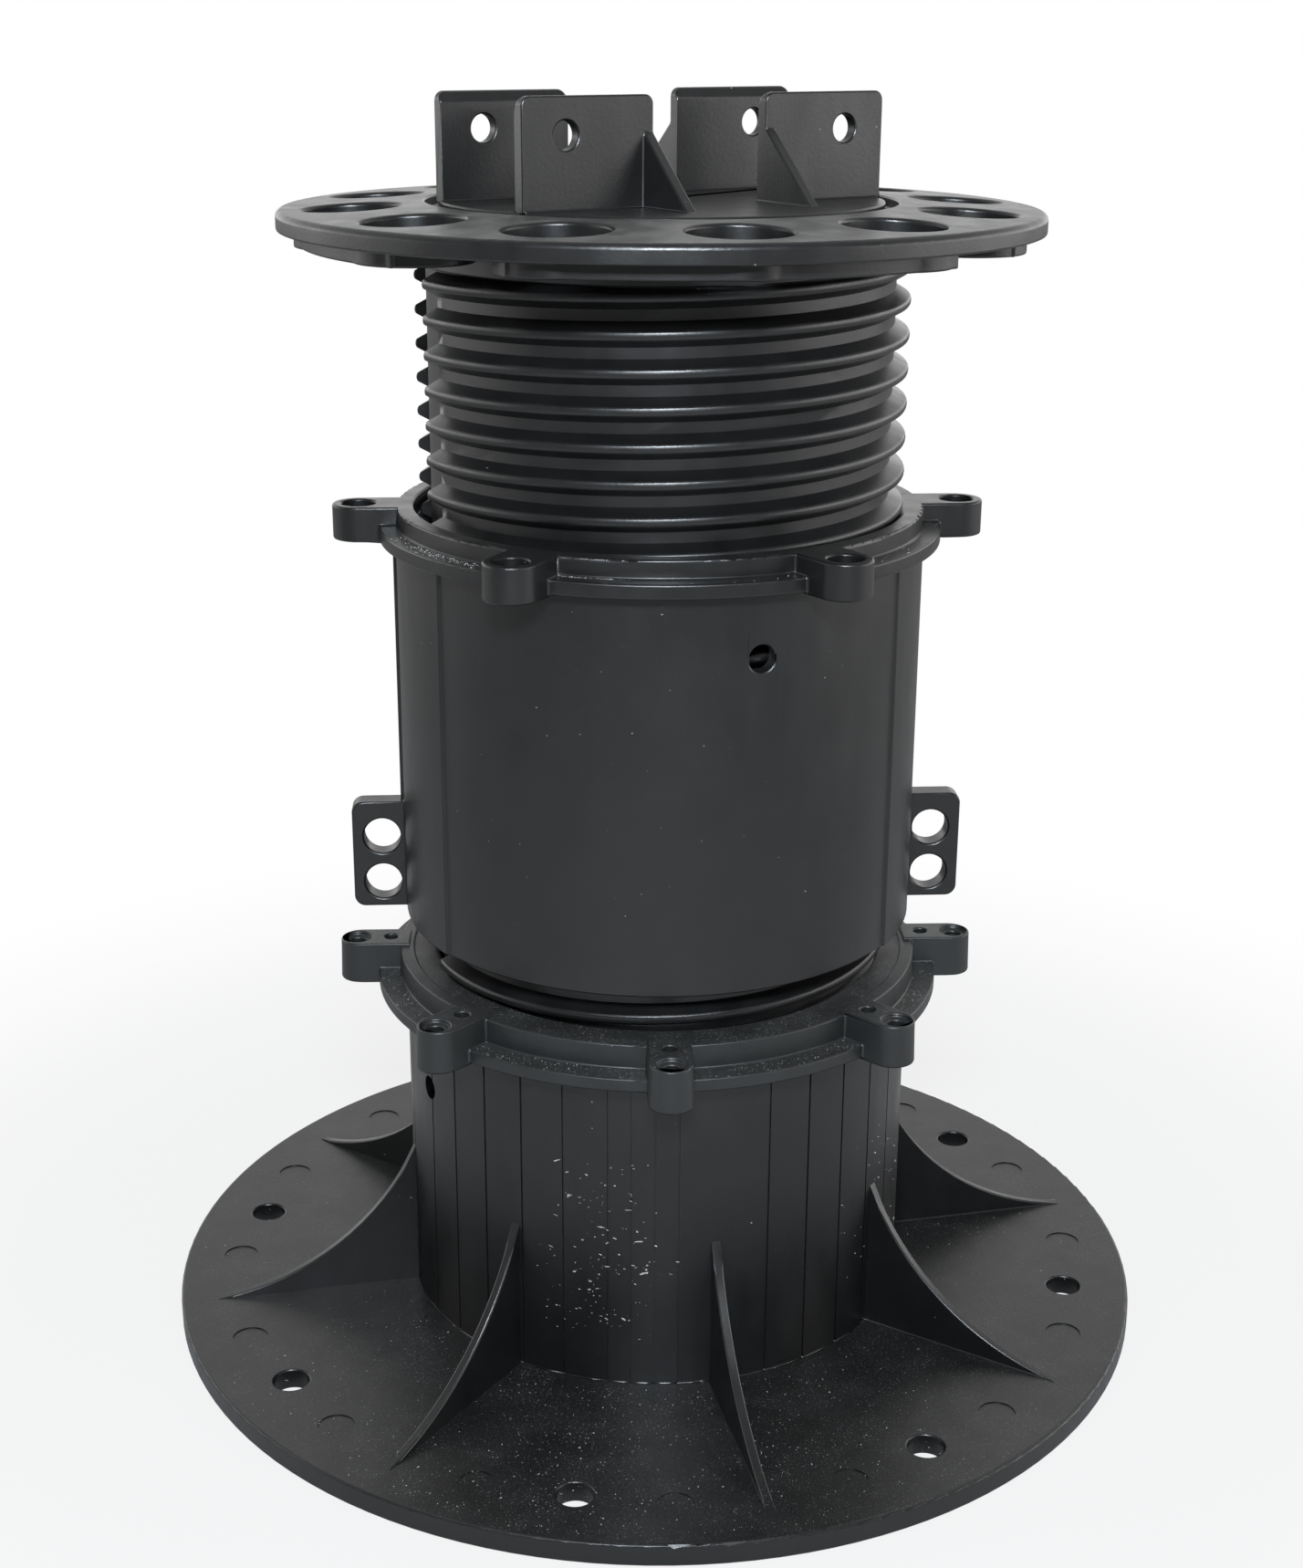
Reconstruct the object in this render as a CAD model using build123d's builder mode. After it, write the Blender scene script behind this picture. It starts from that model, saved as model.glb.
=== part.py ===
from build123d import *
import os
from math import cos, radians, sin

# Height-adjustable decking pedestal: a finned foot, a ring nut, a threaded extender, a threaded
# head plate and a swivelling joist cradle. Millimetres, +Z up, origin at the centre of the
# underside. Angles are degrees anticlockwise from +X, seen from above.

# Foot plate and barrel
plate_radius = 100.0
plate_thickness = 4.2
plate_edge_round = 0.6
barrel_radius = 51.0
barrel_wall = 1.9
barrel_top = 69.2

# Foot fins
fin_count = 8
fin_angle = -76.8
fin_thickness = 1.8
fin_height = 30.6
fin_inset = 7.4
fin_curve = 51.9

# Anchor holes, halfway between the fins
anchor_inset = 13.3
anchor_hole = 3.5

# Round marks that the ejector pins leave on the foot, one each side of every fin
ejector_inset = 11.5
ejector_offset = 10.6
ejector_radius = 3.5
ejector_depth = 0.2

# Fine upright score lines on the barrel, the same on its front half and its back half
score_angles = (-165, -150, -140, -130, -120, -110, -100, -95, -90, -85, -65, -55, -45, -35, -25)
score_width = 0.4
score_depth = 0.3

# Small vent through the barrel
vent_angle = -151.3
vent_height = 54.3
vent_radius = 2.4

# Thread, one form for the extender's spigot and the head's stem
thread_pitch = 6.35
thread_root = 43.6
thread_depth = 2.6
thread_crest_width = 1.5
thread_root_width = 4.4
thread_sink = 0.4
thread_clearance = 0.35
tube_wall = 3.0

# Keyway that runs down both threads, and the key on the barrel's inside that fits the lower one
keyway_angle = -170.0
keyway_width = 20.0
key_clearance = 0.4
key_top = 56.0

# Ring nut on the barrel
nut_flange_radius = 56.7
nut_flange_thickness = 2.6
nut_ring_radius = 52.2
nut_ring_height = 4.75
nut_step_radius = 49.5
nut_step_depth = 0.6
nut_edge_round = 0.4
nut_bore = 47.3
nut_skirt_depth = 11.0
nut_bead_height = 2.0
nut_bead_depth = 0.6
nut_thread_depth = 2.5
nut_thread_turns = 2.25

# Two-hole lugs of the ring nut
nut_lug_count = 8
nut_lug_angle = -87.35
nut_lug_width = 8.0
nut_lug_circle = 60.3
nut_lug_inner = 50.3
nut_lug_rise = 0.55
nut_lug_drop = 0.5
nut_lug_draft = 1.5
nut_outer_hole_circle = 61.0
nut_outer_hole = 1.65
nut_outer_recess = 2.8
nut_outer_recess_depth = 0.8
nut_inner_hole_circle = 54.2
nut_inner_hole = 1.4

# Extender tube
extender_gap = 8.65
extender_length = 75.5
panel_radius = 50.1
strip_radius = 50.6
strip_width = 56.2
extender_bore = 47.1
extender_floor = 3.0
extender_flange_radius = 53.75
extender_flange_thickness = 2.8
extender_ring_radius = 50.3
extender_ring_height = 3.5
extender_edge_round = 0.45
spigot_length = 65.5
spigot_thread_phase = 79.3
spigot_thread_turns = 9.0

# Single-hole lugs of the extender
extender_lug_count = 6
extender_lug_angle = -56.12
extender_lug_circle = 57.5
extender_lug_width = 10.0
extender_lug_drop = 0.4
extender_lug_hole = 3.3

# Upright ears on the extender's sides, each with two bores
ear_angle = 3.9
ear_reach = 61.0
ear_height = 22.1
ear_thickness = 4.5
ear_corner = 2.2
ear_hole = 3.65
ear_hole_circle = 55.1
ear_hole_heights = (5.3, 14.9)

# Thin rib that runs on upwards from each ear
ear_rib_width = 1.2
ear_rib_radius = 51.3

# Peg hole through the extender
peg_hole_angle = -68.7
peg_hole_height = 63.4
peg_hole = 2.5

# Head plate and its underside
head_radius = 70.4
head_underside = 218.5
head_thickness = 3.5
head_edge_round = 1.2
head_cone_rise = 1.4
hub_radius = 45.4
hub_length = 6.0
head_recess_radius = 43.5
head_recess_floor = 221.2
head_hole_count = 12
head_hole_angle = -77.17
head_hole_circle = 56.9
head_hole = 8.9
head_hole_lead = 0.7
head_tube_wall = 1.6
skirt_radius = 66.5
skirt_wall = 1.5
underside_depth = 2.75
skirt_window_count = 4
skirt_window_angle = -122.0
skirt_window_width = 23.0

# Head stem
stem_length = 83.5
stem_thread_phase = 204.6
stem_thread_turns = 11.5
mouth_thread_depth = 7.5
mouth_thread_turns = 1.4

# Joist cradle
cradle_angle = 33.15
channel_half_width = 13.2
cradle_plate_thickness = 2.5
cradle_plate_height = 19.0
cradle_plate_inner = 12.0
cradle_plate_outer = 38.4
cradle_plate_corner = 1.6
cradle_lead_in = 1.0
cradle_lead_in_height = 2.0
cradle_hole = 2.5
cradle_hole_place = 29.7
cradle_hole_height = 12.5
gusset_thickness = 2.0
gusset_height = 13.8
gusset_reach = 29.5
disc_radius = 41.0
disc_thickness = 2.0
disc_undercut = 1.0
disc_top = 223.5

# Hollow spigot that carries the cradle in the head, and the ring that keeps it in
pivot_radius = 12.0
pivot_bore = 9.5
pivot_length = 9.0
pivot_clearance = 0.1
retainer_radius = 18.0
retainer_thickness = 3.0
pivot_bead_depth = 0.5
pivot_bead_height = 1.5

# Gap between pieces that rest close together but turn or slide on each other
rest_clearance = 0.3

# Values that follow from the driving dimensions
full_turn = 360.0
barrel_bore = barrel_radius - barrel_wall
thread_crest = thread_root + thread_depth
tube_bore = thread_root - tube_wall
nut_seat = barrel_top + rest_clearance
nut_ring_top = nut_seat + nut_flange_thickness + nut_ring_height
extender_bottom = nut_ring_top + extender_gap
flange_bottom = extender_bottom + extender_length
flange_top = flange_bottom + extender_flange_thickness
mouth_top = flange_top + extender_ring_height
spigot_bottom = extender_bottom - spigot_length
head_top = head_underside + head_thickness
hub_bottom = head_underside - hub_length
stem_bottom = head_underside - stem_length
disc_bottom = disc_top - disc_thickness

os.makedirs("parts", exist_ok=True)


def radial_plane(angle, height=0.0):
    """Upright plane through the axis: x runs outwards along the angle and y runs up."""
    outwards = (cos(radians(angle)), sin(radians(angle)), 0)
    across = (sin(radians(angle)), -cos(radians(angle)), 0)
    return Plane(origin=(0, 0, height), x_dir=outwards, z_dir=across)


def facing_plane(angle, distance, height):
    """Plane that looks straight out at the angle, a distance from the axis."""
    outwards = (cos(radians(angle)), sin(radians(angle)), 0)
    origin = (distance * outwards[0], distance * outwards[1], height)
    return Plane(origin=origin, x_dir=(-outwards[1], outwards[0], 0), z_dir=outwards)


def thread_height(phase, angle):
    """Height of the crest at an angle, for a crest that is at phase where the angle is -90."""
    return phase + thread_pitch * (angle + 90) / full_turn


def male_ridge(turns):
    """Helical ridge of the male thread, from angle 0 and height 0 upwards, cut by the keyway."""
    slope = (thread_root_width - thread_crest_width) / 2 / thread_depth
    half_root = thread_root_width / 2 + slope * thread_sink
    half_crest = thread_crest_width / 2
    with BuildPart() as ridge:
        with BuildLine():
            path = Helix(pitch=thread_pitch, height=thread_pitch * turns, radius=thread_root)
        with BuildSketch(radial_plane(0)) as profile:
            Polygon(
                (thread_root - thread_sink, -half_root),
                (thread_crest, -half_crest),
                (thread_crest, half_crest),
                (thread_root - thread_sink, half_root),
                align=None,
            )
        sweep(path=path, is_frenet=True)
        with BuildSketch(Plane.XY.offset(-thread_pitch)):
            Rectangle(2 * thread_crest, keyway_width, align=(Align.MIN, Align.CENTER))
        extrude(amount=(turns + 2) * thread_pitch, mode=Mode.SUBTRACT)
    return ridge


def female_ridge(turns, bore, height):
    """Helical ridge that fills the male groove less the clearance, cut flat at a height."""
    slope = (thread_root_width - thread_crest_width) / 2 / thread_depth
    reach = thread_root + 2 * thread_clearance
    half_groove = (thread_pitch - thread_root_width) / 2 - thread_clearance
    half_crest = half_groove + slope * (reach - thread_root)
    outer = bore + thread_sink
    half_root = half_groove + slope * (outer - thread_root)
    with BuildPart() as ridge:
        with BuildLine():
            path = Helix(pitch=thread_pitch, height=thread_pitch * turns, radius=bore)
        with BuildSketch(radial_plane(0)):
            Polygon(
                (outer, -half_root),
                (outer, half_root),
                (reach, half_crest),
                (reach, -half_crest),
                align=None,
            )
        sweep(path=path, is_frenet=True)
        with BuildSketch(Plane.XY.offset(height)):
            Circle(2 * bore)
        extrude(amount=turns * thread_pitch, mode=Mode.SUBTRACT)
    return ridge


# Foot: plate, barrel, fins, anchor holes and the key for the extender
with BuildPart() as fin:
    with BuildSketch(radial_plane(0, plate_thickness)):
        with BuildLine():
            foot = (plate_radius - fin_inset, 0)
            crown = (barrel_radius, fin_height)
            inside = barrel_radius - barrel_wall / 2
            RadiusArc(crown, foot, -fin_curve)
            Polyline(foot, (foot[0], -plate_thickness / 2), (inside, -plate_thickness / 2))
            Polyline((inside, -plate_thickness / 2), (inside, fin_height), crown)
        make_face()
    extrude(amount=fin_thickness / 2, both=True)

with BuildPart() as base:
    Cylinder(plate_radius, plate_thickness, align=(Align.CENTER, Align.CENTER, Align.MIN))
    rim = base.edges().filter_by(GeomType.CIRCLE).group_by(Axis.Z)[-1]
    fillet(rim, plate_edge_round)
    Cylinder(barrel_radius, barrel_top, align=(Align.CENTER, Align.CENTER, Align.MIN))
    with PolarLocations(0, fin_count, start_angle=fin_angle):
        add(fin.part)
    with BuildSketch():
        Circle(barrel_bore)
    extrude(amount=barrel_top, mode=Mode.SUBTRACT)
    bead_middle = nut_seat - nut_skirt_depth + nut_bead_height / 2
    with BuildSketch(Plane.XY.offset(bead_middle)):
        Circle(barrel_bore + nut_bead_depth)
    groove_height = nut_bead_height / 2 + rest_clearance
    extrude(amount=groove_height, both=True, mode=Mode.SUBTRACT)
    anchor_angle = fin_angle - full_turn / fin_count / 2
    with PolarLocations(plate_radius - anchor_inset, fin_count, start_angle=anchor_angle):
        Cylinder(anchor_hole, 2 * plate_thickness, mode=Mode.SUBTRACT)
    with BuildSketch(Plane.XY.offset(plate_thickness)):
        ejector_circle = plate_radius - ejector_inset
        for side in (-ejector_offset, ejector_offset):
            with PolarLocations(ejector_circle, fin_count, start_angle=fin_angle + side):
                Circle(ejector_radius)
    extrude(amount=-ejector_depth, mode=Mode.SUBTRACT)
    for angle in score_angles:
        for half in (0, full_turn / 2):
            with BuildSketch(facing_plane(angle + half, barrel_radius, plate_thickness)):
                Rectangle(score_width, barrel_top, align=(Align.CENTER, Align.MIN))
            extrude(amount=score_depth, both=True, mode=Mode.SUBTRACT)
    with BuildSketch(facing_plane(vent_angle, 0, vent_height)):
        Circle(vent_radius)
    extrude(amount=barrel_radius + 1, mode=Mode.SUBTRACT)
    key_reach = thread_root + 2 * key_clearance
    with BuildSketch(Plane.XY):
        with Locations(Location((0, 0, 0), (0, 0, keyway_angle))):
            with Locations(((key_reach + barrel_bore + barrel_wall / 2) / 2, 0)):
                key_length = barrel_bore + barrel_wall / 2 - key_reach
                Rectangle(key_length, keyway_width - 2 * key_clearance)
    extrude(amount=key_top)
base.part.label = "base"
export_step(base.part, "parts/base.step")

# Ring nut: flange and ring above the barrel, skirt with a snap bead inside it
with BuildPart() as base_collar:
    skirt_bottom = nut_seat - nut_skirt_depth
    skirt_outside = barrel_bore - rest_clearance
    bead_outside = barrel_bore + nut_bead_depth - rest_clearance
    step_height = nut_ring_top - nut_step_depth
    with BuildSketch(Plane.XZ) as section:
        Polygon(
            (nut_bore, skirt_bottom),
            (bead_outside, skirt_bottom),
            (bead_outside, skirt_bottom + nut_bead_height),
            (skirt_outside, skirt_bottom + nut_bead_height),
            (skirt_outside, nut_seat),
            (nut_flange_radius, nut_seat),
            (nut_flange_radius, nut_seat + nut_flange_thickness),
            (nut_ring_radius, nut_seat + nut_flange_thickness),
            (nut_ring_radius, nut_ring_top),
            (nut_step_radius, nut_ring_top),
            (nut_step_radius, step_height),
            (nut_bore, step_height),
            align=None,
        )
        fillet(section.vertices().group_by(Axis.X)[-1], nut_edge_round)
        corner = section.vertices().sort_by_distance((nut_ring_radius, nut_ring_top))[0]
        fillet(corner, nut_edge_round)
    revolve(axis=Axis.Z)
    lug_top = nut_ring_top + nut_lug_rise
    lug_height = lug_top - nut_seat + nut_lug_drop
    with BuildSketch(Plane.XY.offset(lug_top)):
        with PolarLocations(nut_lug_circle, nut_lug_count, start_angle=nut_lug_angle):
            Circle(nut_lug_width / 2)
        middle = (nut_lug_circle + nut_lug_inner) / 2
        with PolarLocations(middle, nut_lug_count, start_angle=nut_lug_angle):
            Rectangle(nut_lug_circle - nut_lug_inner, nut_lug_width)
    extrude(amount=-lug_height, taper=-nut_lug_draft)
    fillet(base_collar.faces().group_by(Axis.Z)[-1].edges(), nut_edge_round)
    with BuildSketch(Plane.XY.offset(nut_seat)):
        Circle(barrel_radius + rest_clearance)
        Circle(skirt_outside, mode=Mode.SUBTRACT)
    extrude(amount=-nut_lug_drop, mode=Mode.SUBTRACT)
    with PolarLocations(nut_outer_hole_circle, nut_lug_count, start_angle=nut_lug_angle):
        with Locations((0, 0, lug_top)):
            CounterBoreHole(nut_outer_hole, nut_outer_recess, nut_outer_recess_depth)
    with PolarLocations(nut_inner_hole_circle, nut_lug_count, start_angle=nut_lug_angle):
        with Locations((0, 0, lug_top)):
            Hole(nut_inner_hole, lug_top - nut_seat - nut_flange_thickness)
    start = spigot_thread_phase - nut_thread_depth * thread_pitch
    nut_thread = female_ridge(nut_thread_turns, nut_bore, step_height - start)
    with Locations(Location((0, 0, start), (0, 0, -90))):
        add(nut_thread.part)
base_collar.part.label = "base_collar"
export_step(base_collar.part, "parts/base_collar.step")

# Extender: tube with flange, ring, lugs and ears above, threaded spigot below
with BuildPart() as extender:
    with BuildSketch(Plane.XY.offset(extender_bottom)):
        Rectangle(4 * panel_radius, strip_width, rotation=ear_angle)
        Circle(strip_radius, mode=Mode.INTERSECT)
        Circle(panel_radius)
    extrude(amount=extender_length)
    with BuildSketch(Plane.XY.offset(flange_bottom)):
        Circle(extender_flange_radius)
    extrude(amount=extender_flange_thickness)
    rims = extender.edges().filter_by(GeomType.CIRCLE).group_by(SortBy.RADIUS)[-1]
    fillet(rims, extender_edge_round)
    with BuildSketch(Plane.XY.offset(flange_top)):
        Circle(extender_ring_radius)
    extrude(amount=extender_ring_height)
    with BuildSketch(Plane.XY.offset(mouth_top)):
        with PolarLocations(extender_lug_circle, extender_lug_count, start_angle=extender_lug_angle):
            Circle(extender_lug_width / 2)
        middle = (extender_lug_circle + extender_bore) / 2
        with PolarLocations(middle, extender_lug_count, start_angle=extender_lug_angle):
            Rectangle(extender_lug_circle - extender_bore, extender_lug_width)
    extrude(amount=flange_bottom - extender_lug_drop - mouth_top)
    fillet(extender.faces().group_by(Axis.Z)[-1].edges(), extender_edge_round)
    for angle in (ear_angle, ear_angle + full_turn / 2):
        with BuildSketch(radial_plane(angle, extender_bottom)) as ear:
            with Locations(((extender_bore + ear_reach) / 2, ear_height / 2)):
                Rectangle(ear_reach - extender_bore, ear_height)
            fillet(ear.vertices().group_by(Axis.X)[-1], ear_corner)
            with Locations(*[(ear_hole_circle, height) for height in ear_hole_heights]):
                Circle(ear_hole, mode=Mode.SUBTRACT)
        extrude(amount=ear_thickness / 2, both=True)
        with BuildSketch(radial_plane(angle, extender_bottom + ear_height)):
            with Locations(((extender_bore + ear_rib_radius) / 2, 0)):
                rib_length = extender_length - ear_height
                rib_depth = ear_rib_radius - extender_bore
                Rectangle(rib_depth, rib_length, align=(Align.CENTER, Align.MIN))
        extrude(amount=ear_rib_width / 2, both=True)
    with BuildSketch(Plane.XY.offset(spigot_bottom)):
        Circle(thread_root)
    extrude(amount=spigot_length)
    with BuildSketch(Plane.XY.offset(extender_bottom + extender_floor)):
        Circle(extender_bore)
    extrude(amount=mouth_top - extender_bottom - extender_floor, mode=Mode.SUBTRACT)
    with BuildSketch(Plane.XY.offset(spigot_bottom)):
        Circle(tube_bore)
    extrude(amount=spigot_length + extender_floor, mode=Mode.SUBTRACT)
    with PolarLocations(extender_lug_circle, extender_lug_count, start_angle=extender_lug_angle):
        with Locations((0, 0, mouth_top)):
            hole_length = mouth_top - flange_bottom + extender_lug_drop
            Hole(extender_lug_hole, hole_length)
    with BuildSketch(facing_plane(peg_hole_angle, 0, extender_bottom + peg_hole_height)):
        Circle(peg_hole)
    extrude(amount=strip_radius + 1, mode=Mode.SUBTRACT)
    spigot_thread = male_ridge(spigot_thread_turns)
    top_crest = thread_height(spigot_thread_phase, keyway_angle) + thread_pitch
    start = top_crest - spigot_thread_turns * thread_pitch
    with Locations(Location((0, 0, start), (0, 0, keyway_angle))):
        add(spigot_thread.part)
    start = stem_thread_phase - mouth_thread_depth * thread_pitch
    mouth_thread = female_ridge(mouth_thread_turns, extender_bore, mouth_top - start)
    with Locations(Location((0, 0, start), (0, 0, -90))):
        add(mouth_thread.part)
extender.part.label = "extender"
export_step(extender.part, "parts/extender.step")

# Head: round plate with holes on a hollow threaded stem
with BuildPart() as head:
    with BuildSketch(Plane.XZ):
        Polygon(
            (0, head_underside),
            (head_radius, head_underside),
            (head_radius, head_top),
            (head_recess_radius, head_top + head_cone_rise),
            (head_recess_radius, head_recess_floor),
            (0, head_recess_floor),
            align=None,
        )
    revolve(axis=Axis.Z)
    rim = head.edges().filter_by(GeomType.CIRCLE).sort_by(SortBy.RADIUS)[-2:]
    fillet(rim.sort_by(Axis.Z)[-1], head_edge_round)
    with BuildSketch(Plane.XY.offset(head_underside)):
        Circle(hub_radius)
    extrude(amount=-hub_length)
    with BuildSketch(Plane.XY.offset(head_underside)):
        Circle(thread_root)
    extrude(amount=-stem_length)
    with BuildSketch(Plane.XY.offset(head_underside)):
        Circle(skirt_radius)
        Circle(skirt_radius - skirt_wall, mode=Mode.SUBTRACT)
        with PolarLocations(skirt_radius, skirt_window_count, start_angle=skirt_window_angle):
            Rectangle(4 * skirt_wall, skirt_window_width, mode=Mode.SUBTRACT)
    extrude(amount=-underside_depth)
    with BuildSketch(Plane.XY.offset(head_underside)):
        with PolarLocations(head_hole_circle, head_hole_count, start_angle=head_hole_angle):
            Circle(head_hole + head_tube_wall)
    extrude(amount=-underside_depth)
    with BuildSketch(Plane.XY.offset(head_underside)):
        Circle(tube_bore)
    extrude(amount=-stem_length, mode=Mode.SUBTRACT)
    with BuildSketch(Plane.XY.offset(head_underside - underside_depth)):
        with PolarLocations(head_hole_circle, head_hole_count, start_angle=head_hole_angle):
            Circle(head_hole)
        Circle(pivot_radius + pivot_clearance)
    hole_length = underside_depth + head_thickness + head_cone_rise
    extrude(amount=hole_length, mode=Mode.SUBTRACT)
    top = head.faces().filter_by(GeomType.CONE).sort_by(Axis.Z)[-1]
    fillet(top.edges().filter_by(GeomType.CIRCLE, reverse=True), head_hole_lead)
    stem_thread = male_ridge(stem_thread_turns)
    lowest_turns = int((thread_height(stem_thread_phase, keyway_angle) - stem_bottom) / thread_pitch)
    start = thread_height(stem_thread_phase, keyway_angle) - lowest_turns * thread_pitch
    with Locations(Location((0, 0, start), (0, 0, keyway_angle))):
        add(stem_thread.part)
head.part.label = "head"
export_step(head.part, "parts/head.step")

# Cradle: disc on a hollow pivot, with four upright plates that hold a joist
with BuildPart() as cradle:
    with BuildSketch(Plane.XY.offset(disc_bottom)):
        Circle(disc_radius)
    extrude(amount=disc_thickness)
    chamfer(cradle.edges().filter_by(GeomType.CIRCLE).group_by(Axis.Z)[0], disc_undercut)
    along = (cos(radians(cradle_angle)), sin(radians(cradle_angle)), 0)
    across = (along[1], -along[0], 0)
    channel = Plane(origin=(0, 0, disc_top), x_dir=along, z_dir=across)
    plate_middle = (cradle_plate_inner + cradle_plate_outer) / 2
    plate_length = cradle_plate_outer - cradle_plate_inner
    for side in (-1, 1):
        with BuildSketch(channel.offset(side * channel_half_width)) as plates:
            with Locations((-plate_middle, 0), (plate_middle, 0)):
                Rectangle(plate_length, cradle_plate_height, align=(Align.CENTER, Align.MIN))
            fillet(plates.vertices().group_by(Axis.Y)[-1], cradle_plate_corner)
            with Locations(*[(end * cradle_hole_place, cradle_hole_height) for end in (-1, 1)]):
                Circle(cradle_hole, mode=Mode.SUBTRACT)
        extrude(amount=side * cradle_plate_thickness)
        foot = side * (channel_half_width + cradle_plate_thickness / 2)
        tip = side * gusset_reach
        for end in (-1, 1):
            section = Plane(origin=(0, 0, disc_top), x_dir=across, z_dir=tuple(-c for c in along))
            with BuildSketch(section.offset(-end * cradle_plate_inner)):
                Polygon((foot, 0), (tip, 0), (foot, gusset_height), align=None)
            extrude(amount=-end * gusset_thickness)
    with BuildSketch(section) as lead_in:
        for side in (-1, 1):
            face = side * channel_half_width
            Polygon(
                (face, cradle_plate_height - cradle_lead_in_height),
                (face + side * cradle_lead_in, cradle_plate_height),
                (face - side * cradle_lead_in, cradle_plate_height),
                align=None,
            )
    extrude(amount=cradle_plate_outer, both=True, mode=Mode.SUBTRACT)
    with BuildSketch(Plane.XY.offset(disc_bottom)):
        Circle(pivot_radius)
    extrude(amount=-pivot_length)
    with BuildSketch(Plane.XY.offset(disc_bottom - pivot_length)):
        Circle(pivot_radius + pivot_bead_depth)
    extrude(amount=pivot_bead_height)
    with BuildSketch(Plane.XY.offset(disc_bottom - pivot_length)):
        Circle(pivot_bore)
    extrude(amount=pivot_length, mode=Mode.SUBTRACT)
cradle.part.label = "cradle"
export_step(cradle.part, "parts/cradle.step")

# Push-on ring that keeps the cradle's pivot in the head
with BuildPart() as cradle_retainer:
    with BuildSketch(Plane.XY.offset(head_underside - rest_clearance)):
        Circle(retainer_radius)
        Circle(pivot_radius + pivot_clearance, mode=Mode.SUBTRACT)
    extrude(amount=-retainer_thickness)
cradle_retainer.part.label = "cradle_retainer"
export_step(cradle_retainer.part, "parts/cradle_retainer.step")
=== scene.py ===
import math

import bmesh
import bpy
from mathutils import Matrix, Vector


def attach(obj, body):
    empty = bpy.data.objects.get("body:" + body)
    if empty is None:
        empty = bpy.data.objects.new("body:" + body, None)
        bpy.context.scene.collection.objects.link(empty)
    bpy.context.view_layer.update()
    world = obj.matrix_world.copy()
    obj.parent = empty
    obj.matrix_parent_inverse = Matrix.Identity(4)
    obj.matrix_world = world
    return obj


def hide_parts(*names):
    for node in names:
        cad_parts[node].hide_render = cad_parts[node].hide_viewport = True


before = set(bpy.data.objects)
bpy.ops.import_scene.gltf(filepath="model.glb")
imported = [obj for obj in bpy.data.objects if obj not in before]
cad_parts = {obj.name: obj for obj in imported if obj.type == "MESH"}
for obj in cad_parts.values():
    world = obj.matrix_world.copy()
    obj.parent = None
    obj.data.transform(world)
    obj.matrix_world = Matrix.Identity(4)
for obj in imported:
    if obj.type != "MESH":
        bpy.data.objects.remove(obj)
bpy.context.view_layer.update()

MM = 0.001

# Where the camera stands, and which way it looks
CAMERA_PLACE = (0.0, -426.01 * MM, 255.39 * MM)
CAMERA_PITCH = math.radians(18.88)
CAMERA_YAW = math.radians(-0.17)
CAMERA_ROLL = math.radians(0.32)
CAMERA_LENS = 51.61
CAMERA_SENSOR = 36.0

# Foot: the plate's top and edge, the barrel's outside, and how deep its score lines are
PLATE_TOP = 4.2 * MM
PLATE_RADIUS = 100.0 * MM
BARREL_RADIUS = 51.0 * MM
SCORE_DEPTH = 0.45 * MM

# Ring nut: the ledge round its raised ring
NUT_RING = 52.2 * MM
NUT_LEDGE = 56.7 * MM
NUT_LEDGE_TOP = 72.1 * MM

# Extender: the ledge round its raised ring, and the tube's outside
TUBE_RADIUS = 50.1 * MM
EXTENDER_RING = 50.3 * MM
EXTENDER_LEDGE = 53.75 * MM
EXTENDER_LEDGE_TOP = 163.8 * MM

# Screw thread of the extender and the head: its radii, and how far its crests are crowned
THREAD_CREST = 46.2 * MM
THREAD_ROOT = 43.6 * MM
CREST_CROWN = 0.20 * MM

# An edge across a thread's root that turns more than this is divided afresh
LONG_TURN = math.radians(8)

# Mould edges turn more than SHARP; they are rounded by this much
SHARP = math.radians(38)
STOUT_EDGE = 0.35 * MM
FINE_EDGE = 0.3 * MM

# Floor
FLOOR_RADIUS = 6.0
FLOOR_DROP = 0.05 * MM


# Node trees

class Value:
    """A socket of a node tree. Sums with it add Math nodes."""

    def __init__(self, tree, socket):
        self.tree = tree
        self.socket = socket

    def sum(self, operation, first, second):
        return make_node(self.tree, "ShaderNodeMath", {"operation": operation}, (first, second))

    def __add__(self, other):
        return self.sum("ADD", self, other)

    def __radd__(self, other):
        return self.sum("ADD", other, self)

    def __sub__(self, other):
        return self.sum("SUBTRACT", self, other)

    def __rsub__(self, other):
        return self.sum("SUBTRACT", other, self)

    def __mul__(self, other):
        return self.sum("MULTIPLY", self, other)

    def __rmul__(self, other):
        return self.sum("MULTIPLY", other, self)


def make_node(tree, kind, settings=(), values=(), output=0):
    """Adds any node: its settings first, then its sockets, by name or in their order."""
    node = tree.nodes.new(kind)
    for name, setting in dict(settings).items():
        setattr(node, name, setting)
    named = values.items() if isinstance(values, dict) else enumerate(values)
    for name, value in named:
        if isinstance(value, Value):
            tree.links.new(value.socket, node.inputs[name])
        else:
            node.inputs[name].default_value = value
    return Value(tree, node.outputs[output]) if node.outputs else None


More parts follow.
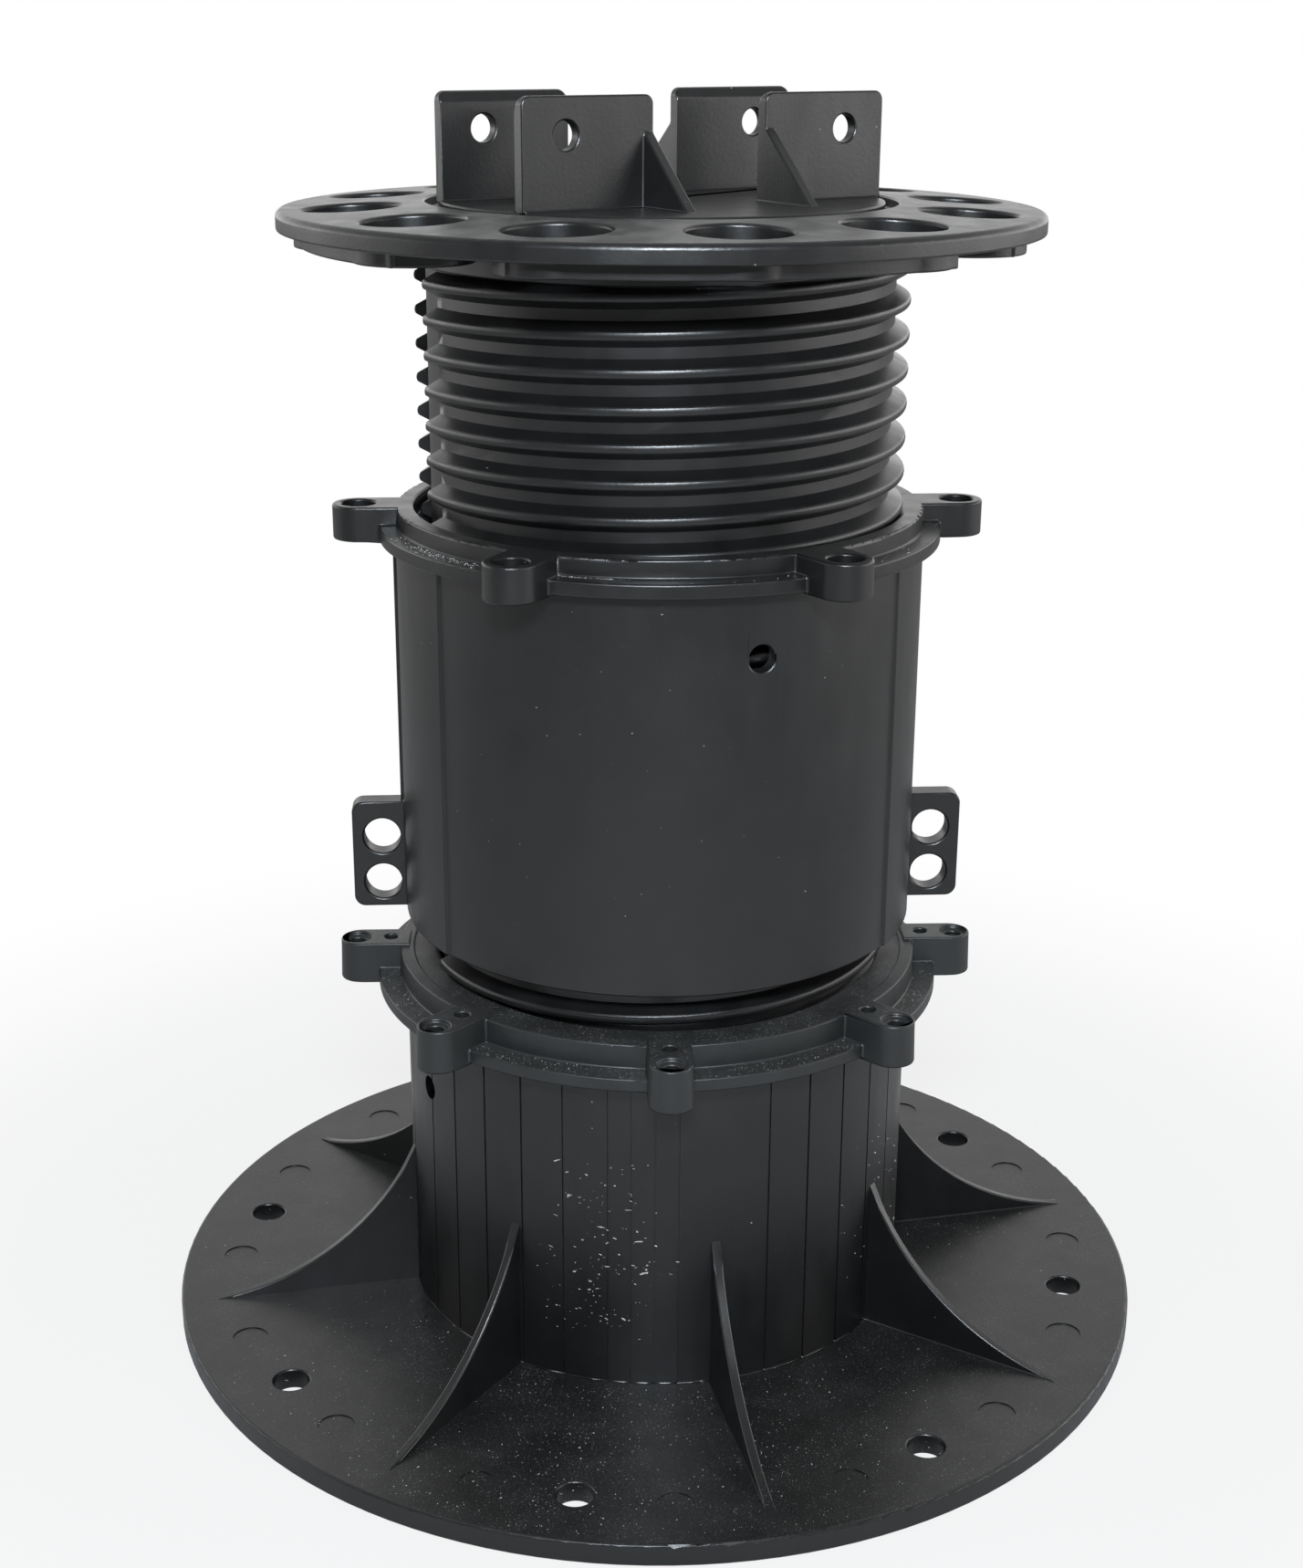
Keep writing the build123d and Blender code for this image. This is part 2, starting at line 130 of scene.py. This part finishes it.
class Finish:
    """The node tree of one finish, with the few helpers that all finishes share."""

    def __init__(self, owner):
        owner.use_nodes = True
        self.tree = owner.node_tree
        self.tree.nodes.clear()

    def node(self, kind, settings=(), values=(), output=0):
        return make_node(self.tree, kind, settings, values, output)

    def place(self):
        return self.node("ShaderNodeTexCoord", output="Object")

    def ramp(self, value, low, high):
        """0 at low and 1 at high, smooth between."""
        settings = {"interpolation_type": "SMOOTHSTEP"}
        values = {"Value": value, "From Min": low, "From Max": high}
        return self.node("ShaderNodeMapRange", settings, values)

    def noise(self, scale, detail=3.0, stretch=(1.0, 1.0, 1.0), shift=0.0):
        """Noise of so many waves a metre; a stretch below 1 draws it out along that axis."""
        values = {"Vector": self.place(), "Location": (shift, shift, shift), "Scale": stretch}
        place = self.node("ShaderNodeMapping", {}, values)
        values = {"Vector": place, "Scale": scale, "Detail": detail}
        return self.node("ShaderNodeTexNoise", {}, values)

    def mix(self, factor, first, second):
        values = {0: factor, 6: first, 7: second}
        return self.node("ShaderNodeMix", {"data_type": "RGBA"}, values, 2)

    def facing_up(self):
        normal = self.node("ShaderNodeNewGeometry", output="Normal")
        return self.node("ShaderNodeSeparateXYZ", {}, (normal,), 2)


# Finishes of the object

def tint(red, green, blue):
    return (red, green, blue, 1.0)


def mottle(finish, dark, pale):
    """The cloudy black of a moulding, drawn out up and down where the plastic flowed."""
    cloud = finish.noise(110.0, 5.0)
    flow = finish.noise(70.0, 4.0, (1.0, 1.0, 0.12), 3.1)
    return finish.mix(finish.ramp(cloud * 0.6 + flow * 0.4, 0.35, 0.68), dark, pale)


def upward_dust_and_sheen(finish, haze, grit_strength):
    """Dust on the faces that look up: a haze in patches, with grit in it. Where the haze is thick
    it is also painted sheen, the paleness that grazing light gives upward faces.
    """
    ledge = finish.ramp(finish.facing_up(), 0.9, 0.99)
    patch = finish.ramp(finish.noise(130.0, 6.0, shift=7.7), 0.40, 0.75)
    grit = finish.ramp(finish.noise(2600.0, 1.0, shift=1.3), 0.62, 0.72)
    return ledge * (0.4 + 0.6 * patch) * (haze + grit_strength * grit)


def pale_specks(finish):
    """Single specks that stick to any face, in some places only."""
    values = {"Vector": finish.place(), "Scale": 330.0, "Randomness": 1.0}
    distance = finish.node("ShaderNodeTexVoronoi", {"feature": "F1"}, values)
    chosen = finish.ramp(finish.noise(90.0, 2.0, shift=12.4), 0.60, 0.66)
    return (1.0 - finish.ramp(distance, 0.035, 0.075)) * chosen * 0.55


def moulded_plastic(name, dark, pale, roughness, grain, haze, grit_strength):
    """Moulded polypropylene: cloudy black, a fine grain, rub marks and dust on upward faces, which
    is also painted sheen there where the haze is thick.
    """
    material = bpy.data.materials.new(name)
    finish = Finish(material)
    dust_sheen_mask = upward_dust_and_sheen(finish, haze, grit_strength)
    colour = finish.mix(dust_sheen_mask, mottle(finish, dark, pale), tint(0.32, 0.31, 0.29))
    colour = finish.mix(pale_specks(finish), colour, tint(0.50, 0.49, 0.47))
    rub = finish.noise(190.0, 5.0, (1.0, 1.0, 0.35), 5.2)
    rough = roughness + (rub - 0.5) * 0.22 + dust_sheen_mask * 0.3
    peel = finish.noise(1500.0, 2.0)
    wave = finish.noise(60.0, 2.0, (1.0, 1.0, 0.4), 9.0)
    values = {"Strength": 0.35, "Distance": 0.12 * MM, "Height": peel * grain + wave * 0.9}
    bump = finish.node("ShaderNodeBump", {}, values)
    values = {"Base Color": colour, "Roughness": rough, "Specular IOR Level": 0.7, "Normal": bump}
    shader = finish.node("ShaderNodeBsdfPrincipled", {}, values)
    finish.node("ShaderNodeOutputMaterial", {}, {"Surface": shader})
    return material


def pale_dust():
    """Dry, pale dust and chips of plastic."""
    material = bpy.data.materials.new("pale_dust")
    finish = Finish(material)
    tone = finish.ramp(finish.noise(700.0, 2.0), 0.35, 0.65)
    colour = finish.mix(tone, tint(0.20, 0.195, 0.185), tint(0.52, 0.51, 0.48))
    values = {"Strength": 0.5, "Distance": 0.05 * MM, "Height": finish.noise(9000.0)}
    bump = finish.node("ShaderNodeBump", {}, values)
    values = {"Base Color": colour, "Roughness": 0.7 + 0.2 * tone, "Normal": bump}
    shader = finish.node("ShaderNodeBsdfPrincipled", {}, values)
    finish.node("ShaderNodeOutputMaterial", {}, {"Surface": shader})
    return material


# Mouldings: copies of the solids with their edges softened

def radius_of(corner):
    return math.hypot(corner.co.x, corner.co.y)


def turn_between(first, last):
    """The turn about the pedestal's axis from one point to another."""
    turn = math.atan2(last.y, last.x) - math.atan2(first.y, first.x)
    return math.remainder(turn, 2 * math.pi)


def on_cylinder(corners, radius, slack):
    return all(abs(radius_of(corner) - radius) < slack for corner in corners)


def on_root(corners):
    return on_cylinder(corners, THREAD_ROOT, 0.05 * MM)


def even_roots(shape):
    """Divides a thread's root afresh where long triangles cut across the round of it."""
    crossing = []
    for edge in shape.edges:
        corners = [corner for face in edge.link_faces for corner in face.verts]
        if len(edge.link_faces) == 2 and on_root(corners):
            if abs(turn_between(edge.verts[0].co, edge.verts[1].co)) > LONG_TURN:
                crossing.append(edge)
    merged = bmesh.ops.dissolve_edges(shape, edges=crossing)["region"]
    for face in merged:
        unroll_and_divide(shape, face)


def unroll_and_divide(shape, face):
    """Divides a face of the root as if it were unrolled flat."""
    places = {corner: corner.co.copy() for corner in face.verts}
    start = face.verts[0].co.copy()
    for corner, place in places.items():
        corner.co = THREAD_ROOT * turn_between(start, place), place.z, 0.0
    face.normal_update()
    bmesh.ops.triangulate(shape, faces=[face])
    for corner, place in places.items():
        corner.co = place


def crown(shape):
    """Rounds the flat crests of a thread a little, so that each turn catches a line of light."""
    middle = shape.verts.layers.float.new("middle")
    half = shape.verts.layers.float.new("half")
    across = []
    for edge in shape.edges:
        low, high = sorted(corner.co.z for corner in edge.verts)
        upright = high - low > 0.5 * MM and high - low > 0.95 * edge.calc_length()
        if upright and on_cylinder(edge.verts, THREAD_CREST, 0.01 * MM):
            across.append(edge)
            for corner in edge.verts:
                corner[middle] = (low + high) / 2
                corner[half] = (high - low) / 2
    bmesh.ops.subdivide_edges(shape, edges=across, cuts=3, use_grid_fill=True)
    for corner in shape.verts:
        if corner[half] > 0:
            away = (corner.co.z - corner[middle]) / corner[half]
            rise = 1 + max(0.0, 1 - away ** 2) * CREST_CROWN / THREAD_CREST
            corner.co.x *= rise
            corner.co.y *= rise
    shape.verts.layers.float.remove(half)
    shape.verts.layers.float.remove(shape.verts.layers.float["middle"])


def score_line(edge):
    """True for the edges of the fine score lines on the barrel, which stay crisp."""
    inner, outer = BARREL_RADIUS - SCORE_DEPTH, BARREL_RADIUS + 0.02 * MM
    on_barrel = all(inner < radius_of(corner) < outer for corner in edge.verts)
    return on_barrel and max(corner.co.z for corner in edge.verts) > PLATE_TOP


def root_corner(edge):
    """True for the hollow corners at a thread's root, which the mould leaves sharp."""
    return not edge.is_convex and on_root(edge.verts)


def room(edge, sharp):
    """How far the rounding of an edge can reach before it meets the next edge."""
    reach = 1.0
    for corner in edge.verts:
        along = (edge.other_vert(corner).co - corner.co).normalized()
        for face in edge.link_faces:
            for other in corner.link_edges:
                if other == edge or face not in other.link_faces:
                    continue
                side = other.other_vert(corner).co - corner.co
                if other not in sharp or along.dot(side.normalized()) > -0.9:
                    reach = min(reach, 0.45 * along.cross(side).length)
    return reach


def mark_edges(shape, node, width):
    """Marks the mould edges as sharp, and says how much of the width each can be rounded by."""
    weights = shape.edges.layers.float.new("bevel_weight_edge")
    sharp = set()
    for edge in shape.edges:
        edge.smooth = len(edge.link_faces) != 2 or abs(edge.calc_face_angle_signed(0)) <= SHARP
        if not edge.smooth:
            sharp.add(edge)
    for edge in sharp:
        crisp = root_corner(edge) or (node == "base" and score_line(edge))
        reach = room(edge, sharp)
        if reach > 0.3 * width and not crisp:
            edge[weights] = min(1.0, reach / width)


def add_object(name, mesh, body):
    piece = bpy.data.objects.new(name, mesh)
    bpy.context.scene.collection.objects.link(piece)
    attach(piece, body)
    return piece


def dress(node, body, material, width):
    """A copy of a solid with its mould edges softened, which stands for the solid."""
    shape = bmesh.new()
    shape.from_mesh(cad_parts[node].data)
    bmesh.ops.remove_doubles(shape, verts=shape.verts, dist=0.002 * MM)
    bmesh.ops.dissolve_limit(
        shape, angle_limit=math.radians(0.05), verts=shape.verts, edges=shape.edges
    )
    if node in ("extender", "head"):
        even_roots(shape)
        crown(shape)
    mark_edges(shape, node, width)
    for face in shape.faces:
        face.smooth = True
    mesh = bpy.data.meshes.new(node + "_moulding")
    shape.to_mesh(mesh)
    shape.free()
    mesh.materials.append(material)
    piece = add_object(node + "_moulding", mesh, body)
    bevel = piece.modifiers.new("mould_edges", "BEVEL")
    bevel.limit_method = "WEIGHT"
    bevel.width = width
    bevel.segments = 2
    bevel.use_clamp_overlap = False
    bevel.loop_slide = False
    bevel.miter_outer = "MITER_ARC"
    even = piece.modifiers.new("even_faces", "WEIGHTED_NORMAL")
    even.mode = "FACE_AREA"
    even.weight = 100
    even.keep_sharp = True
    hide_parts(node)


BLACK = {"dark": tint(0.004, 0.004, 0.0042), "pale": tint(0.007, 0.007, 0.0073)}
GREY = {"dark": tint(0.011, 0.012, 0.012), "pale": tint(0.017, 0.019, 0.019)}

black = moulded_plastic(
    "black_moulding", **BLACK, roughness=0.36, grain=0.5, haze=0.03, grit_strength=0.3
)
# The head's upward faces get a haze ten times thicker: partly dust, partly painted sheen for the
# paleness grazing light gives its top face.
dust_and_sheen_black = moulded_plastic(
    "dusty_black_moulding", **BLACK, roughness=0.36, grain=0.5, haze=0.35, grit_strength=0.3
)
grey = moulded_plastic(
    "grey_moulding", **GREY, roughness=0.45, grain=0.8, haze=0.06, grit_strength=0.6
)

dress("base", "foot", black, FINE_EDGE)
dress("base_collar", "ring_nut", grey, FINE_EDGE)
dress("extender", "extender_tube", black, STOUT_EDGE)
dress("head", "head_plate", dust_and_sheen_black, STOUT_EDGE)
dress("cradle", "joist_cradle", black, FINE_EDGE)
dress("cradle_retainer", "lift", black, FINE_EDGE)


# Dust: grains and chips strewn over the ledges and walls

GRAIN_INPUTS = {
    "Count": "NodeSocketInt",
    "Inner radius": "NodeSocketFloat",
    "Outer radius": "NodeSocketFloat",
    "Middle angle": "NodeSocketFloat",
    "Half spread": "NodeSocketFloat",
    "Low height": "NodeSocketFloat",
    "High height": "NodeSocketFloat",
    "Grain size": "NodeSocketFloat",
    "Chip length": "NodeSocketFloat",
    "Upright": "NodeSocketFloat",
    "Seed": "NodeSocketInt",
}


def grain_tree(material):
    """Grains strewn over part of a ring: on its top face, or upright on its outside."""
    tree = bpy.data.node_groups.new("strewn_grains", "GeometryNodeTree")
    tree.interface.new_socket("Geometry", in_out="INPUT", socket_type="NodeSocketGeometry")
    for name, kind in GRAIN_INPUTS.items():
        tree.interface.new_socket(name, in_out="INPUT", socket_type=kind)
    tree.interface.new_socket("Geometry", in_out="OUTPUT", socket_type="NodeSocketGeometry")
    entry = tree.nodes.new("NodeGroupInput")
    given = {socket.name: Value(tree, socket) for socket in entry.outputs if socket.name}

    def node(kind, settings=(), values=(), output=0):
        return make_node(tree, kind, settings, values, output)

    def chance(draw):
        """A random number from 0 to 1 for each grain, of its own for each draw."""
        values = {2: 0.0, 3: 1.0, 8: given["Seed"] + draw}
        return node("FunctionNodeRandomValue", {"data_type": "FLOAT"}, values, 1)

    angle = given["Middle angle"] + given["Half spread"] * (chance(1) + chance(2) - 1.0)
    radius = given["Inner radius"] + (given["Outer radius"] - given["Inner radius"]) * chance(3)
    height = given["Low height"] + (given["High height"] - given["Low height"]) * chance(4)
    east = radius * node("ShaderNodeMath", {"operation": "COSINE"}, (angle,))
    north = radius * node("ShaderNodeMath", {"operation": "SINE"}, (angle,))
    place = node("ShaderNodeCombineXYZ", {}, (east, north, height))
    points = node("GeometryNodePoints", {}, {"Count": given["Count"], "Position": place})
    size = given["Grain size"] * (0.25 + 0.75 * chance(5) * chance(6))
    length = size * (1.0 + given["Chip length"] * chance(7) * chance(8))
    lean = chance(9) - 0.5
    spin = angle + 6.0 * lean * (1.0 - given["Upright"])
    turn = node("ShaderNodeCombineXYZ", {}, (lean * given["Upright"], 0.0, spin))
    turn = node("FunctionNodeEulerToRotation", {}, (turn,))
    scale = node("ShaderNodeCombineXYZ", {}, (size, length, size))
    grain = node("GeometryNodeMeshIcoSphere", {}, {"Radius": 1.0, "Subdivisions": 1})
    values = {"Points": points, "Instance": grain, "Rotation": turn, "Scale": scale}
    strewn = node("GeometryNodeInstanceOnPoints", {}, values)
    both = node("GeometryNodeJoinGeometry", {}, (strewn,))
    tree.links.new(given["Geometry"].socket, both.socket.node.inputs[0])
    whole = node("GeometryNodeRealizeInstances", {}, (both,))
    coated = node("GeometryNodeSetMaterial", {}, {"Geometry": whole, "Material": material})
    node("NodeGroupOutput", {}, (coated,))
    return tree


def batch(count, radii, angles, heights, size, chip, upright, seed):
    """One batch of grains: angles are the middle and the half spread, in degrees."""
    middle, half = (math.radians(angle) for angle in angles)
    values = (count, *radii, middle, half, *heights, size, chip, upright, seed)
    return dict(zip(GRAIN_INPUTS, values))


def on_ledge(count, radii, angles, top, size, seed, chip=1.0):
    """Grains that lie on a level ring."""
    return batch(count, radii, angles, (top, top), size, chip, 0.0, seed)


def on_wall(count, radius, angles, heights, size, seed, chip):
    """Grains and chips that stick to an upright wall, their length up and down."""
    return batch(count, (radius, radius), angles, heights, size, chip, 1.0, seed)


def strew(name, body, grains, batches):
    """Makes the grains of every batch into one mesh that rides on a body."""
    holder = bpy.data.objects.new(name, bpy.data.meshes.new(name + "_holder"))
    bpy.context.scene.collection.objects.link(holder)
    for sizes in batches:
        layer = holder.modifiers.new("grains", "NODES")
        layer.node_group = grains
        for item in grains.interface.items_tree:
            if item.name in sizes:
                layer[item.identifier] = sizes[item.name]
    graph = bpy.context.evaluated_depsgraph_get()
    mesh = bpy.data.meshes.new_from_object(holder.evaluated_get(graph), depsgraph=graph)
    bpy.data.objects.remove(holder)
    add_object(name, mesh, body)


def strew_dust():
    grains = grain_tree(pale_dust())
    plate = (BARREL_RADIUS + 2 * MM, PLATE_RADIUS - 2 * MM)
    strew("foot_dust", "foot", grains, [
        on_wall(80, BARREL_RADIUS, (-99, 17), (27 * MM, 52 * MM), 0.22 * MM, 3, chip=7.0),
        on_wall(80, BARREL_RADIUS, (-104, 16), (14 * MM, 32 * MM), 0.20 * MM, 14, chip=5.0),
        on_wall(70, BARREL_RADIUS, (-28, 20), (12 * MM, 48 * MM), 0.22 * MM, 25, chip=4.0),
        on_ledge(1100, plate, (-100, 60), PLATE_TOP, 0.15 * MM, 36, chip=1.5),
        on_ledge(700, plate, (-60, 180), PLATE_TOP, 0.13 * MM, 47),
        on_ledge(400, plate, (90, 120), PLATE_TOP, 0.13 * MM, 58),
    ])
    ledge = (NUT_RING + 0.3 * MM, NUT_LEDGE - 0.3 * MM)
    strew("ring_nut_dust", "ring_nut", grains, [
        on_ledge(260, ledge, (-130, 60), NUT_LEDGE_TOP, 0.14 * MM, 69),
        on_ledge(200, ledge, (-40, 60), NUT_LEDGE_TOP, 0.14 * MM, 80),
    ])
    ledge = (EXTENDER_RING + 0.3 * MM, EXTENDER_LEDGE - 0.4 * MM)
    corner = (EXTENDER_RING, EXTENDER_RING + 0.5 * MM)
    strew("extender_dust", "extender_tube", grains, [
        on_ledge(330, ledge, (-140, 22), EXTENDER_LEDGE_TOP, 0.15 * MM, 91),
        on_ledge(240, corner, (-108, 14), EXTENDER_LEDGE_TOP, 0.16 * MM, 102),
        on_ledge(120, ledge, (-40, 60), EXTENDER_LEDGE_TOP, 0.13 * MM, 113),
        on_wall(40, TUBE_RADIUS, (-90, 60), (95 * MM, 158 * MM), 0.12 * MM, 124, chip=2.0),
    ])


strew_dust()


# Camera, floor and light

def set_camera():
    ahead = Vector((
        math.sin(CAMERA_YAW) * math.cos(CAMERA_PITCH),
        math.cos(CAMERA_YAW) * math.cos(CAMERA_PITCH),
        -math.sin(CAMERA_PITCH),
    ))
    right = ahead.cross(Vector((0, 0, 1))).normalized()
    up = right.cross(ahead)
    turned = math.cos(CAMERA_ROLL) * right + math.sin(CAMERA_ROLL) * up
    camera = bpy.data.objects.new("camera", bpy.data.cameras.new("camera"))
    bpy.context.scene.collection.objects.link(camera)
    axes = Matrix((turned, turned.cross(ahead), -ahead)).transposed()
    camera.matrix_world = Matrix.Translation(CAMERA_PLACE) @ axes.to_4x4()
    camera.data.sensor_width = CAMERA_SENSOR
    camera.data.lens = CAMERA_LENS
    camera.data.clip_start = 0.01
    camera.data.clip_end = 50.0
    bpy.context.scene.camera = camera


def white_paper():
    """Pale paper that keeps the object's shadow near it and is plain white further off."""
    material = bpy.data.materials.new("white_paper")
    finish = Finish(material)
    tone = finish.mix(finish.noise(400.0), tint(0.50, 0.50, 0.50), tint(0.54, 0.54, 0.54))
    matt = finish.node("ShaderNodeBsdfDiffuse", {}, {"Color": tone})
    values = {"Color": tint(1, 1, 1), "Strength": 1.0}
    glow = finish.node("ShaderNodeEmission", {}, values)
    away = finish.node("ShaderNodeVectorMath", {"operation": "LENGTH"}, (finish.place(),), 1)
    seen = finish.node("ShaderNodeLightPath", output="Is Camera Ray")
    white = (0.8 + 0.2 * finish.ramp(away, 0.12, 0.28)) * seen
    mixed = finish.node("ShaderNodeMixShader", {}, (white, matt, glow))
    finish.node("ShaderNodeOutputMaterial", {}, {"Surface": mixed})
    return material


def lay_floor():
    """The floor lies a hair under the foot, so that the two don't share a face."""
    shape = bmesh.new()
    level = Matrix.Translation((0, 0, -FLOOR_DROP))
    bmesh.ops.create_circle(shape, cap_ends=True, segments=96, radius=FLOOR_RADIUS, matrix=level)
    mesh = bpy.data.meshes.new("floor")
    shape.to_mesh(mesh)
    shape.free()
    floor = bpy.data.objects.new("floor", mesh)
    bpy.context.scene.collection.objects.link(floor)
    floor.data.materials.append(white_paper())


def set_surroundings():
    """White all round, dimmer on the camera's side and overhead, and plain white to the camera."""
    world = bpy.data.worlds.new("studio")
    bpy.context.scene.world = world
    finish = Finish(world)
    direction = finish.node("ShaderNodeTexCoord", output="Generated")
    behind = finish.node("ShaderNodeSeparateXYZ", {}, (direction,), 1)
    above = finish.node("ShaderNodeSeparateXYZ", {}, (direction,), 2)
    round_about = 0.10 + 1.9 * finish.ramp(behind, -0.8, 0.6)
    overhead = 1.0 - 0.68 * finish.ramp(above, 0.0, 0.5)
    straight = finish.node("ShaderNodeLightPath", output="Is Camera Ray")
    strength = straight + (1.0 - straight) * (round_about * overhead)
    values = {"Color": tint(1, 1, 1), "Strength": strength}
    white = finish.node("ShaderNodeBackground", {}, values)
    finish.node("ShaderNodeOutputWorld", {}, {"Surface": white})


def hang_lamp(name, place, aim_height, size, power, colour):
    """A soft rectangular lamp that looks at the pedestal's axis."""
    light = bpy.data.lights.new(name, "AREA")
    light.shape = "RECTANGLE"
    light.size, light.size_y = size
    light.energy = power
    light.color = colour
    holder = bpy.data.objects.new(name, light)
    bpy.context.scene.collection.objects.link(holder)
    aim = Vector((0, 0, aim_height)) - Vector(place)
    turn = aim.to_track_quat("-Z", "Y").to_matrix().to_4x4()
    holder.matrix_world = Matrix.Translation(place) @ turn


COOL_WHITE = (0.84, 0.92, 1.0)
WARM_WHITE = (1.0, 0.99, 0.98)

set_camera()
lay_floor()
set_surroundings()
hang_lamp("front_lamp", (0.0, -0.46, 0.41), 0.15, (0.12, 0.07), 3.3, COOL_WHITE)
hang_lamp("right_lamp", (1.25, 0.15, 0.30), 0.16, (1.3, 0.7), 3.0, WARM_WHITE)
hang_lamp("high_right_lamp", (1.2, -0.45, 0.32), 0.2, (0.9, 0.35), 1.8, WARM_WHITE)
hang_lamp("left_lamp", (-1.25, 0.25, 0.25), 0.16, (1.3, 0.7), 1.8, WARM_WHITE)

bpy.context.scene.view_settings.view_transform = "Standard"
